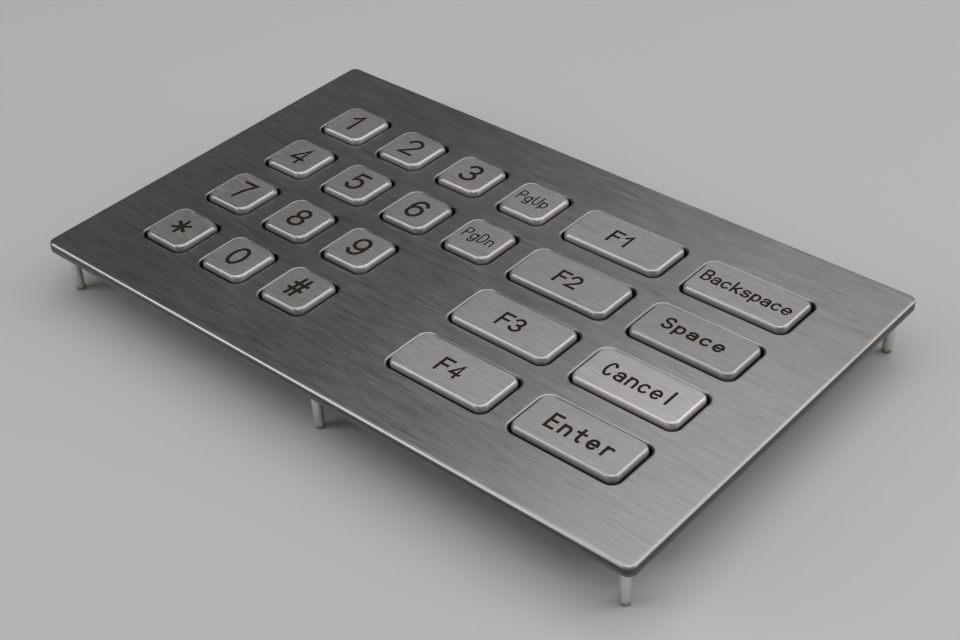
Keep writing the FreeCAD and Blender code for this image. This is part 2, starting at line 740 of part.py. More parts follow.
def fasteners():
    bore = dim("screw_diameter + 2 * screw_clearance")
    washer = dim("washer_diameter")
    thickness = dim("washer_thickness")
    cover_washer_back = f"({TRAY_BACK} - {thickness})"
    board_washer_back = f"({BOARD_BACK} - {thickness})"
    return [
        tube_group(
            "cover_spacers", CORNER_BOSSES, dim("boss_diameter"), bore, dim("component_space"), TRAY_FLOOR
        ),
        tube_group("cover_washers", CORNER_BOSSES, washer, bore, thickness, cover_washer_back),
        tube_group("board_washers", INNER_BOSSES, washer, bore, thickness, board_washer_back),
        screw_group(
            "cover_screws", CORNER_BOSSES, dim("cover_head_diameter"), dim("cover_head_height"),
            dim("cover_shank"), f"({cover_washer_back} - {dim('cover_head_height')})",
        ),
        screw_group(
            "board_screws", INNER_BOSSES, dim("board_head_diameter"), dim("board_head_height"),
            dim("board_shank"), f"({board_washer_back} - {dim('board_head_height')})",
        ),
    ]


def soldered_parts():
    passive = (dim("passive_length"), dim("passive_width"))
    chip_grid = Grid(CHIP_X, CHIP_Y, 1, "1", 1, "1")
    crystal_grid = Grid(dim("0.6 * key_pitch"), "0", 1, "1", 1, "1")
    resistors = Grid(dim("-1.2 * key_pitch"), dim("-0.5 * key_pitch"), 2, "4", 6, "3")
    capacitors = Grid(dim("-0.5 * key_pitch"), dim("0.55 * key_pitch"), 4, "4", 1, "1")
    diodes = Grid(dim("key_pitch"), dim("-0.4 * key_pitch"), 2, "5", 3, "4")
    chip = (dim("chip_side"), dim("chip_side"), dim("chip_height"))
    crystal = (dim("crystal_length"), dim("crystal_width"), dim("crystal_height"))
    diode = (dim("diode_length"), dim("diode_width"), dim("diode_height"))
    return [
        soldered_block("controller_chip", *chip, chip_grid),
        controller_leads(),
        soldered_block("timing_crystal", *crystal, crystal_grid),
        soldered_block("chip_resistors", *passive, dim("resistor_height"), resistors),
        soldered_block("chip_capacitors", *passive, dim("capacitor_height"), capacitors),
        soldered_block("steering_diodes", *diode, diodes),
    ]


def build():
    parts = [front_plate(), mounting_studs(), plate_bosses(), plate_gasket()]
    parts += keys()
    parts += [key_guide(), silicone_mat(), dome_spacer(), snap_domes(), circuit_board()]
    parts += soldered_parts()
    parts += [cable_socket(), socket_pins(), insulator_sheet(), rear_tray()]
    parts += fasteners()
    return parts


def check(parts):
    """Every object recomputed, and every sub-part a valid closed solid."""
    for item in doc.Objects:
        if "Invalid" in item.State or "Error" in item.State:
            raise RuntimeError(f"{item.Label} failed: {item.State}")
    for part in parts:
        shape = part.Shape
        if shape.isNull() or not shape.isValid() or not shape.Solids:
            raise RuntimeError(f"{part.Label} has no valid solid")


def export(parts):
    os.makedirs("parts", exist_ok=True)
    for part in parts:
        part.Shape.exportStep(f"parts/{part.Label}.step")
        print(f"{part.Label}: {len(part.Shape.Solids)} solids, {part.Shape.Volume:.1f} mm3")


parts = build()
doc.recompute()
check(parts)
export(parts)
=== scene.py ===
import math
from collections import namedtuple

import bmesh
import bpy
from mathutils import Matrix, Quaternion, Vector


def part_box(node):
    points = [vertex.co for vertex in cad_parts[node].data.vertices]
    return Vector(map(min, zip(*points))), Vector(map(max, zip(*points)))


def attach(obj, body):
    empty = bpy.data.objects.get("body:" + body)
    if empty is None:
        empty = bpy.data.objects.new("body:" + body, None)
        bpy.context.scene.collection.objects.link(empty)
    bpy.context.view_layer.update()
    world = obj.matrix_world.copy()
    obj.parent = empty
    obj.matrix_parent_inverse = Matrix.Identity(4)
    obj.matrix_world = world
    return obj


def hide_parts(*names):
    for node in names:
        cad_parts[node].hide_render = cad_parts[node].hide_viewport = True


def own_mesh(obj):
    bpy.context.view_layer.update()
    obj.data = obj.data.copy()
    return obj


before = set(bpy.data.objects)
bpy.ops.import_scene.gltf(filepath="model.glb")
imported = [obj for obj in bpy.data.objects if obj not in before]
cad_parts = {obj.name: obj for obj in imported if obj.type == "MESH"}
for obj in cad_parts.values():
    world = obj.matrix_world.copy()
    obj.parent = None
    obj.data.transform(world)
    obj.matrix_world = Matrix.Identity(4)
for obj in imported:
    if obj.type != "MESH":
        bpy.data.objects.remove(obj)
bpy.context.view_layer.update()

MM = 0.001

plate_low, plate_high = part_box("front_plate")
PLATE_TOP = plate_high.z
PLATE_BACK = plate_low.z


# ---- camera, floor and light -------------------------------------------------------------------

SENSOR_WIDTH = 36
FOCAL_LENGTH = 62.95
NEAREST_SEEN = 10 * MM
FLOOR_RADIUS = 750 * MM
FLOOR_SIDES = 96
ROOM_LIGHT = (0.0885, 0.088, 0.083)
BACKDROP = (0.395, 0.407, 0.42)


def add_camera():
    """Looks down on the front from the near right corner, at a point just right of its middle."""
    azimuth, elevation = math.radians(42.61), math.radians(37.50)
    distance = 370.3 * MM
    roll = math.radians(-2.93)
    target = Vector((15.6 * MM, -12.7 * MM, PLATE_TOP))
    data = bpy.data.cameras.new("camera")
    data.sensor_width = SENSOR_WIDTH
    data.lens = FOCAL_LENGTH
    data.clip_start = NEAREST_SEEN
    camera = bpy.data.objects.new("camera", data)
    bpy.context.scene.collection.objects.link(camera)
    back = Vector((
        math.sin(azimuth) * math.cos(elevation),
        -math.cos(azimuth) * math.cos(elevation),
        math.sin(elevation),
    ))
    camera.location = target + back * distance
    turn = (-back).to_track_quat("-Z", "Y") @ Quaternion((0, 0, 1), roll)
    camera.rotation_euler = turn.to_euler()
    bpy.context.scene.camera = camera


def make_floor():
    """A plain pale round floor, under the stud tips."""
    material, tree, shader = new_material("floor_paint", Roughness=0.6)
    cloud = noise(tree, (3, 3, 3))
    tone = mix_colours(tree, cloud, (0.60, 0.605, 0.61), (0.63, 0.635, 0.64))
    tree.links.new(tone, shader.inputs["Base Color"])
    sheet = bmesh.new()
    bmesh.ops.create_circle(sheet, cap_ends=True, segments=FLOOR_SIDES, radius=FLOOR_RADIUS)
    floor = to_object("floor", sheet, material)


def add_area_light(name, place, lean, size, power):
    """A rectangular light; it looks straight down, or where lean is 1, at the object's middle."""
    data = bpy.data.lights.new(name, "AREA")
    data.shape = "RECTANGLE"
    data.size, data.size_y = size
    data.energy = power
    light = bpy.data.objects.new(name, data)
    bpy.context.scene.collection.objects.link(light)
    light.location = place
    aim = Vector((-place[0] * lean, -place[1] * lean, -place[2]))
    light.rotation_euler = aim.to_track_quat("-Z", "Y").to_euler()


def add_lights():
    """One wide softbox overhead and two low ones, for the edges that turn to the left and right."""
    add_area_light("overhead_softbox", (0.20, 0.13, 1.0), 0, (1.5, 1.65), 9.3)
    add_area_light("left_softbox", (-0.80, -0.95, 0.58), 1, (0.8, 0.55), 3.8)
    add_area_light("right_softbox", (0.94, 0.84, 0.50), 1, (1.0, 0.8), 4.3)
    world = bpy.data.worlds.new("studio")
    world.use_nodes = True
    tree = world.node_tree
    background = tree.nodes["Background"]
    # The room is dim and warm, but the backdrop behind the floor is as pale as the floor.
    seen = add_node(tree, "ShaderNodeLightPath").outputs["Is Camera Ray"]
    shade = mix_colours(tree, seen, ROOM_LIGHT, BACKDROP)
    tree.links.new(shade, background.inputs["Color"])
    bpy.context.scene.world = world


# ---- material building blocks ------------------------------------------------------------------

def new_material(name, **sockets):
    """A Principled material; sockets are its constant inputs, with _ for a space."""
    material = bpy.data.materials.new(name)
    material.use_nodes = True
    shader = material.node_tree.nodes["Principled BSDF"]
    for socket, value in sockets.items():
        shader.inputs[socket.replace("_", " ")].default_value = value
    return material, material.node_tree, shader


def add_node(tree, kind, inputs=(), **settings):
    node = tree.nodes.new(kind)
    for name, value in settings.items():
        setattr(node, name, value)
    for socket, value in dict(inputs).items():
        if isinstance(value, bpy.types.NodeSocket):
            tree.links.new(value, node.inputs[socket])
        else:
            node.inputs[socket].default_value = value
    return node


def noise(tree, waves, detail=3.0, roughness=0.55):
    """Noise with so many waves per metre along x, y and z of the row frame."""
    place = add_node(tree, "ShaderNodeTexCoord")
    stretch = add_node(
        tree, "ShaderNodeMapping", {"Vector": place.outputs["Object"], "Scale": waves}
    )
    texture = add_node(tree, "ShaderNodeTexNoise", {
        "Vector": stretch.outputs["Vector"],
        "Scale": 1.0,
        "Detail": detail,
        "Roughness": roughness,
    })
    return texture.outputs["Fac"]


def spread(tree, value, low, high, start=0.3, end=0.7):
    """The value's range from start to end, mapped to low to high."""
    mapped = add_node(tree, "ShaderNodeMapRange", {
        "Value": value, "From Min": start, "From Max": end, "To Min": low, "To Max": high,
    })
    return mapped.outputs["Result"]


def mix_values(tree, first, second, share):
    """A weighted mean of two values."""
    mixed = add_node(tree, "ShaderNodeMix", {0: share, 2: first, 3: second}, data_type="FLOAT")
    return mixed.outputs[0]


def mix_colours(tree, value, low, high):
    mixed = add_node(tree, "ShaderNodeMix", {
        0: value, 6: (*low, 1) if isinstance(low, tuple) else low,
        7: (*high, 1) if isinstance(high, tuple) else high,
    }, data_type="RGBA")
    return mixed.outputs[2]


def bump(tree, height, distance, strength):
    inputs = {"Height": height, "Distance": distance, "Strength": strength}
    return add_node(tree, "ShaderNodeBump", inputs).outputs["Normal"]


def flatness(tree, start, end):
    """From 0 to 1 as the upright part of the normal, up or down, goes from start to end."""
    geometry = add_node(tree, "ShaderNodeNewGeometry")
    parts = add_node(tree, "ShaderNodeSeparateXYZ", {0: geometry.outputs["Normal"]})
    upright = add_node(tree, "ShaderNodeMath", {0: parts.outputs["Z"]}, operation="ABSOLUTE")
    return spread(tree, upright.outputs[0], 0, 1, start, end)


# How a brushed surface is made: its dark and light tones, how rough its faces and its walls are,
# the grain's waves per metre along X and across it, for hairlines and for streaks, and the
# grain's depth.
Brushing = namedtuple("Brushing", "dark light roughness wall_roughness hairlines streaks depth")

# The direction of brushing: X, with a little of the others, so that no wall is square to it.
BRUSHED_ALONG = (1.0, 0.013, 0.007)


def brushed_steel(name, brushing, anisotropy, edge=None):
    """Steel brushed along X. The grain fades where the surface turns away from up or down.

    If given, edge(tree, colour) gives the colour with the walls' painted shade and reflection in
    it.
    """
    material, tree, shader = new_material(name, Metallic=1.0, Anisotropic=anisotropy)
    along, across = brushing.hairlines
    fine = noise(tree, (along, across, across), detail=3.0, roughness=0.6)
    along, across = brushing.streaks
    broad = noise(tree, (along, across, across), detail=2.0)
    cloud = noise(tree, (22, 22, 22), detail=3.0)
    grain = mix_values(tree, fine, broad, 0.2)
    flat = flatness(tree, 0.90, 0.99)
    tone = mix_values(tree, cloud, mix_values(tree, grain, cloud, 0.2), flat)
    shade = spread(tree, tone, 0, 1, 0.32, 0.68)
    colour = mix_colours(tree, shade, brushing.dark, brushing.light)
    tree.links.new(edge(tree, colour) if edge else colour, shader.inputs["Base Color"])
    rough = spread(tree, tone, brushing.roughness - 0.05, brushing.roughness + 0.07)
    matt = spread(tree, flatness(tree, 0.0, 0.8), brushing.wall_roughness, 0, 0, 1)
    steep_rough = add_node(tree, "ShaderNodeMath", {0: rough, 1: matt}, operation="MAXIMUM")
    tree.links.new(steep_rough.outputs[0], shader.inputs["Roughness"])
    deep = spread(tree, flat, 0.02, 0.5, 0, 1)
    tree.links.new(bump(tree, grain, brushing.depth, deep), shader.inputs["Normal"])
    # The highlight spreads across the grain, so the tangent runs along the surface square to X.
    geometry = add_node(tree, "ShaderNodeNewGeometry")
    tangent = add_node(tree, "ShaderNodeVectorMath", {
        0: geometry.outputs["Normal"], 1: BRUSHED_ALONG,
    }, operation="CROSS_PRODUCT")
    tree.links.new(tangent.outputs[0], shader.inputs["Tangent"])
    return material


# How light the plate's window walls and rims stay under their painted shade.
WINDOW_SHADE_LIGHTNESS = 0.22
# The plate's outer wall: how far in from the plate's edge it starts and is whole, then how high
# above the plate's back its painted reflection's lighter lower band ends and darker upper one
# begins.
OUTER_WALL_STARTS, OUTER_WALL_FULL = 1.2 * MM, 1.0 * MM
LOWER_BAND_UP_TO, UPPER_BAND_FROM = 0.75 * MM, 1.05 * MM
RAGGED_BY = 0.25 * MM
# Painted dark reflection on the plate's outer wall, for its lower band and its upper band.
PAINTED_LOWER_WALL = (0.17, 0.175, 0.19)
PAINTED_UPPER_WALL = (0.105, 0.105, 0.11)


def painted_wall_shade(tree, colour):
    """The plate's walls: painted shade in the windows, and outside a painted dark reflection, paler
    below.
    """
    place = add_node(tree, "ShaderNodeTexCoord")
    parts = add_node(tree, "ShaderNodeSeparateXYZ", {0: place.outputs["Object"]})
    reach = []
    for axis, half in (("X", plate_high.x), ("Y", plate_high.y)):
        distance = add_node(tree, "ShaderNodeMath", {0: parts.outputs[axis]}, operation="ABSOLUTE")
        reach.append(spread(
            tree, distance.outputs[0], 0, 1, half - OUTER_WALL_STARTS, half - OUTER_WALL_FULL
        ))
    outer = add_node(tree, "ShaderNodeMath", {0: reach[0], 1: reach[1]}, operation="MAXIMUM")
    steep = flatness(tree, 0.5, 0.1)
    wall = add_node(tree, "ShaderNodeMath", {0: outer.outputs[0], 1: steep}, operation="MULTIPLY")
    ragged = spread(tree, noise(tree, (400, 400, 1500), detail=4.0), -RAGGED_BY, RAGGED_BY)
    height = add_node(tree, "ShaderNodeMath", {0: parts.outputs["Z"], 1: ragged}, operation="ADD")
    # Painted reflection: the outer wall is dark, its lower band lighter, with a ragged line
    # between.
    upper_band = spread(
        tree, height.outputs[0], 0, 1, PLATE_BACK + LOWER_BAND_UP_TO, PLATE_BACK + UPPER_BAND_FROM
    )
    band = mix_colours(tree, upper_band, PAINTED_LOWER_WALL, PAINTED_UPPER_WALL)
    # Painted shade: the window walls and their rims are darkened where they turn away from flat.
    window_shade = add_node(
        tree, "ShaderNodeVectorMath", {0: colour, "Scale": WINDOW_SHADE_LIGHTNESS}, operation="SCALE"
    )
    inside = mix_colours(tree, flatness(tree, 0.50, 0.99), window_shade.outputs[0], colour)
    plain = mix_colours(tree, outer.outputs[0], inside, colour)
    return mix_colours(tree, wall.outputs[0], plain, band)


# How far below the plate's top a key's painted shade is darkest and where it ends, and its
# lightness there.
KEY_SHADE_DARKEST_AT, KEY_SHADE_ENDS_AT = 0.85 * MM, 0.25 * MM
KEY_SHADE_LIGHTNESS = 0.15


def key_finish_and_gap_shade(tree, colour):
    """Each key is a little lighter or darker, as its finish says, with painted shade down in its
    window.
    """
    finish = add_node(
        tree, "ShaderNodeAttribute", attribute_type="OBJECT", attribute_name="finish"
    )
    place = add_node(tree, "ShaderNodeTexCoord")
    parts = add_node(tree, "ShaderNodeSeparateXYZ", {0: place.outputs["Object"]})
    # Painted shade: the key darkens towards the bottom of its window, where shade falls in the gap.
    unstained_or_unshaded = spread(
        tree, parts.outputs["Z"], KEY_SHADE_LIGHTNESS, 1, PLATE_TOP - KEY_SHADE_DARKEST_AT, PLATE_TOP - KEY_SHADE_ENDS_AT
    )
    scale = add_node(
        tree, "ShaderNodeMath", {0: finish.outputs["Fac"], 1: unstained_or_unshaded}, operation="MULTIPLY"
    )
    scaled = add_node(
        tree, "ShaderNodeVectorMath", {0: colour, "Scale": scale.outputs[0]}, operation="SCALE"
    )
    return scaled.outputs[0]


WELD_STAIN = (0.34, 0.25, 0.16)


def stained_tip(tree, colour):
    """The studs' tips, tinted brown by the welding current."""
    mark = spread(tree, noise(tree, (900, 900, 900)), -0.4 * MM, 0.4 * MM)
    place = add_node(tree, "ShaderNodeTexCoord")
    parts = add_node(tree, "ShaderNodeSeparateXYZ", {0: place.outputs["Object"]})
    height = add_node(tree, "ShaderNodeMath", {0: parts.outputs["Z"], 1: mark}, operation="ADD")
    unstained_or_unshaded = spread(tree, height.outputs[0], 0, 1, 0.35 * MM, 1.3 * MM)
    return mix_colours(tree, unstained_or_unshaded, WELD_STAIN, colour)


def speckled(name, dark, light, waves, roughness, depth, metallic=0.0, tint=None, **sockets):
    """A plain surface with a fine, even grain in its colour, gloss and height."""
    material, tree, shader = new_material(name, Metallic=metallic, **sockets)
    fine = noise(tree, (waves, waves, waves), detail=4.0, roughness=0.6)
    cloud = noise(tree, (waves / 25, waves / 25, waves / 25), detail=2.0)
    tone = mix_values(tree, fine, cloud, 0.5)
    colour = mix_colours(tree, spread(tree, tone, 0, 1), dark, light)
    tree.links.new(tint(tree, colour) if tint else colour, shader.inputs["Base Color"])
    rough = spread(tree, tone, roughness - 0.06, roughness + 0.06)
    tree.links.new(rough, shader.inputs["Roughness"])
    tree.links.new(bump(tree, fine, depth, 0.5), shader.inputs["Normal"])
    return material


# ---- materials ---------------------------------------------------------------------------------

PLATE_BRUSHING = Brushing(
    (0.369, 0.358, 0.348), (0.555, 0.541, 0.527), 0.33, 0.40, (130, 2600), (60, 700), 0.010 * MM
)
KEY_BRUSHING = Brushing(
    (0.48, 0.467, 0.455), (0.71, 0.692, 0.678), 0.42, 0.74, (300, 4000), (140, 2400), 0.011 * MM
)
TRAY_BRUSHING = Brushing(
    (0.42, 0.415, 0.41), (0.54, 0.535, 0.53), 0.40, 0.42, (60, 1800), (30, 500), 0.006 * MM
)
PLATE_STEEL = brushed_steel("plate_steel", PLATE_BRUSHING, 0.7, painted_wall_shade)
KEY_STEEL = brushed_steel("key_steel", KEY_BRUSHING, 0.0, key_finish_and_gap_shade)
LEGEND_PAINT = speckled(
    "legend_paint", (0.018, 0.013, 0.008), (0.030, 0.022, 0.014), 6000, 0.6, 0.004 * MM,
    Specular_IOR_Level=0.15,
)
STUD_STEEL = speckled(
    "stud_steel", (0.62, 0.60, 0.56), (0.82, 0.80, 0.76), 2500, 0.30, 0.01 * MM, 1.0, stained_tip
)
GASKET_RUBBER = speckled(
    "gasket_rubber", (0.010, 0.010, 0.010), (0.028, 0.028, 0.030), 3000, 0.75, 0.02 * MM
)
GUIDE_PLASTIC = speckled(
    "guide_plastic", (0.018, 0.018, 0.020), (0.035, 0.035, 0.038), 4000, 0.5, 0.01 * MM
)
SILICONE = speckled("silicone", (0.24, 0.25, 0.26), (0.34, 0.35, 0.36), 1500, 0.42, 0.006 * MM)
SPACER_SHEET = speckled(
    "spacer_sheet", (0.42, 0.38, 0.22), (0.56, 0.52, 0.34), 2200, 0.45, 0.006 * MM
)
BRIGHT_STEEL = speckled(
    "bright_steel", (0.56, 0.55, 0.53), (0.70, 0.69, 0.67), 2600, 0.27, 0.006 * MM, 1.0
)
GOLD = speckled("gold", (0.70, 0.48, 0.16), (0.86, 0.62, 0.26), 3000, 0.28, 0.003 * MM, 1.0)
BOARD_TRACE = speckled(
    "board_trace", (0.012, 0.15, 0.06), (0.02, 0.20, 0.085), 900, 0.3, 0.004 * MM
)
BOARD = speckled("board", (0.006, 0.085, 0.035), (0.012, 0.13, 0.055), 900, 0.3, 0.004 * MM)
CHIP_EPOXY = speckled(
    "chip_epoxy", (0.012, 0.012, 0.013), (0.03, 0.03, 0.032), 5000, 0.55, 0.008 * MM
)
TIN = speckled("tin", (0.60, 0.59, 0.57), (0.76, 0.75, 0.73), 4000, 0.3, 0.006 * MM, 1.0)
CERAMIC = speckled("ceramic", (0.26, 0.17, 0.10), (0.40, 0.28, 0.18), 4000, 0.4, 0.004 * MM)
NYLON = speckled("nylon", (0.62, 0.60, 0.54), (0.74, 0.72, 0.66), 3000, 0.42, 0.006 * MM)
FILM = speckled("film", (0.010, 0.010, 0.011), (0.022, 0.022, 0.024), 800, 0.28, 0.003 * MM)
TRAY_STEEL = brushed_steel("tray_steel", TRAY_BRUSHING, 0.3)
BRASS = speckled("brass", (0.60, 0.44, 0.18), (0.78, 0.60, 0.28), 2600, 0.3, 0.006 * MM, 1.0)

NODE_MATERIALS = {
    "front_plate": PLATE_STEEL,
    "mounting_studs": STUD_STEEL,
    "plate_bosses": STUD_STEEL,
    "plate_gasket": GASKET_RUBBER,
    "key_guide": GUIDE_PLASTIC,
    "silicone_mat": SILICONE,
    "dome_spacer": SPACER_SHEET,
    "snap_domes": BRIGHT_STEEL,
    "circuit_board": BOARD,
    "controller_chip": CHIP_EPOXY,
    "controller_leads": TIN,
    "timing_crystal": BRIGHT_STEEL,
    "chip_resistors": CHIP_EPOXY,
    "chip_capacitors": CERAMIC,
    "steering_diodes": CHIP_EPOXY,
    "cable_socket": NYLON,
    "socket_pins": TIN,
    "insulator_sheet": FILM,
    "rear_tray": TRAY_STEEL,
    "cover_spacers": BRASS,
    "cover_washers": BRIGHT_STEEL,
    "board_washers": BRIGHT_STEEL,
    "cover_screws": BRIGHT_STEEL,
    "board_screws": BRIGHT_STEEL,
}


def finish_nodes():
    for name, material in NODE_MATERIALS.items():
        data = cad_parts[name].data
        data.materials.clear()
        data.materials.append(material)


# ---- mesh building blocks ----------------------------------------------------------------------

CORNER_STEPS = 10
SMALL_STEPS = 3
TURN_STEPS = 40
SMALL_TURN_STEPS = 24
SHARP_ABOVE = math.radians(30)
SAME_POINT = 0.0001 * MM
# Points closer together than this become one when a piece has been carved.
WELD = 0.0004 * MM


def rounded_outline(half_x, half_y, radius, z, centre, steps=CORNER_STEPS):
    """Points round a rounded rectangle at height z."""
    points = []
    for turn, (side_x, side_y) in enumerate(((1, -1), (1, 1), (-1, 1), (-1, -1))):
        corner = centre + Vector((side_x * (half_x - radius), side_y * (half_y - radius), 0))
        for step in range(steps + 1):
            angle = math.radians(90 * (turn - 1 + step / steps))
            point = corner + radius * Vector((math.cos(angle), math.sin(angle), 0))
            points.append(Vector((point.x, point.y, z)))
    return points


def join_rings(shell, rings):
    """Faces between each ring of points and the next one; a ring of one point is a tip."""
    for ring, following in rings:
        for index in range(max(len(ring), len(following))):
            corners = (
                ring[index % len(ring)],
                ring[(index + 1) % len(ring)],
                following[(index + 1) % len(following)],
                following[index % len(following)],
            )
            if len(set(corners)) > 2:
                shell.faces.new(dict.fromkeys(corners))


def add_loft(shell, loops, closed=False):
    """A skin through loops of equal length, with flat ends, or closed back to the first loop."""
    rings = [[shell.verts.new(point) for point in loop] for loop in loops]
    join_rings(shell, zip(rings, rings[1:]))
    if closed:
        join_rings(shell, [(rings[-1], rings[0])])
    else:
        shell.faces.new(list(reversed(rings[0])))
        shell.faces.new(rings[-1])


def loft(name, loops, material, closed=False):
    shell = bmesh.new()
    add_loft(shell, loops, closed)
    return to_object(name, shell, material)


def add_turned(shell, profile, centre, steps=TURN_STEPS):
    """A solid turned about the upright axis through centre, with (radius, z) outline profile."""
    rings = []
    for radius, z in profile:
        angles = [math.tau * step / steps for step in range(steps)] if radius else [0]
        rings.append([
            shell.verts.new((
                centre.x + radius * math.cos(angle), centre.y + radius * math.sin(angle), z,
            ))
            for angle in angles
        ])
    join_rings(shell, zip(rings, rings[1:] + rings[:1]))


def add_disc(shell, inner, outer, low, high, centre, steps=TURN_STEPS):
    """A flat ring from height low to height high, or a disc where the inner radius is 0."""
    add_turned(shell, [(inner, low), (outer, low), (outer, high), (inner, high)], centre, steps)


def add_block(shell, low, high, corner, soften, steps=SMALL_STEPS):
    """A small block with rounded upright edges and softened flat ones."""
    centre, half = (low + high) / 2, (high - low) / 2
    loops = []
    for inset, z in ((soften, low.z), (0, low.z + soften), (0, high.z - soften), (soften, high.z)):
        loops.append(rounded_outline(
            half.x - inset, half.y - inset, max(corner - inset, soften / 2), z, centre, steps
        ))
    add_loft(shell, loops)


def solids_of(node):
    """The lowest and highest corner of each separate solid in a CAD node."""
    shell = bmesh.new()
    shell.from_mesh(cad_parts[node].data)
    bmesh.ops.remove_doubles(shell, verts=shell.verts, dist=SAME_POINT)
    boxes, seen = [], set()
    for start in shell.verts:
        if start in seen:
            continue
        seen.add(start)
        found = [start]
        for vert in found:
            for edge in vert.link_edges:
                other = edge.other_vert(vert)
                if other not in seen:
                    seen.add(other)
                    found.append(other)
        places = [vert.co for vert in found]
        boxes.append(tuple(
            Vector([pick(place[axis] for place in places) for axis in range(3)])
            for pick in (min, max)
        ))
    shell.free()
    return sorted(boxes, key=lambda box: (round(box[0].x, 5), round(box[0].y, 5)))


def middle(box):
    return (box[0] + box[1]) / 2


def mount(piece, slot, body, *nodes):
    """Smooth a finished piece and say what it rides on and stands for; slot is not used."""
    smooth(piece)
    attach(piece, body)
    if nodes:
        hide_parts(*nodes)


def to_object(name, mesh_maker, material):
    bmesh.ops.recalc_face_normals(mesh_maker, faces=mesh_maker.faces)
    data = bpy.data.meshes.new(name)
    mesh_maker.to_mesh(data)
    mesh_maker.free()
    data.materials.append(material)
    made = bpy.data.objects.new(name, data)
    bpy.context.scene.collection.objects.link(made)
    return made


def smooth(piece):
    """Smooth shading, with steep edges kept sharp and flat faces kept flat."""
    piece.data.shade_smooth()
    piece.data.set_sharp_from_angle(angle=SHARP_ABOVE)
    weighted = piece.modifiers.new("weighted_normals", "WEIGHTED_NORMAL")
    weighted.keep_sharp = True


def carve(piece, cutter):
    """Take cutter's volume out of piece for good; the cut faces keep cutter's material.

    Slivers that the cut leaves are welded away, so that the piece stays one closed skin.
    """
    cut = piece.modifiers.new("carve", "BOOLEAN")
    cut.operation = "DIFFERENCE"
    cut.solver = "EXACT"
    cut.use_self = True
    cut.material_mode = "TRANSFER"
    cut.object = cutter
    graph = bpy.context.evaluated_depsgraph_get()
    carved = bpy.data.meshes.new_from_object(piece.evaluated_get(graph), depsgraph=graph)
    shell = bmesh.new()
    shell.from_mesh(carved)
    bmesh.ops.remove_doubles(shell, verts=shell.verts, dist=WELD)
    bmesh.ops.dissolve_degenerate(shell, edges=shell.edges, dist=WELD)
    shell.to_mesh(carved)
    shell.free()
    piece.modifiers.clear()
    piece.data = carved
    bpy.data.objects.remove(cutter)


# ---- legends -----------------------------------------------------------------------------------
# Each letter is a few pen strokes in a box that is 1 wide and 1 high, from the baseline up. Small
# letters reach up to SMALL, and tails go below 0.

SMALL = 0.62
ARC_STEP = 12


def arc(x, y, reach_x, reach_y, start, end):
    """Points along an ellipse from one angle to another, in degrees."""
    steps = max(3, round(abs(end - start) / ARC_STEP))
    angles = [math.radians(start + (end - start) * step / steps) for step in range(steps + 1)]
    return [(x + reach_x * math.cos(angle), y + reach_y * math.sin(angle)) for angle in angles]


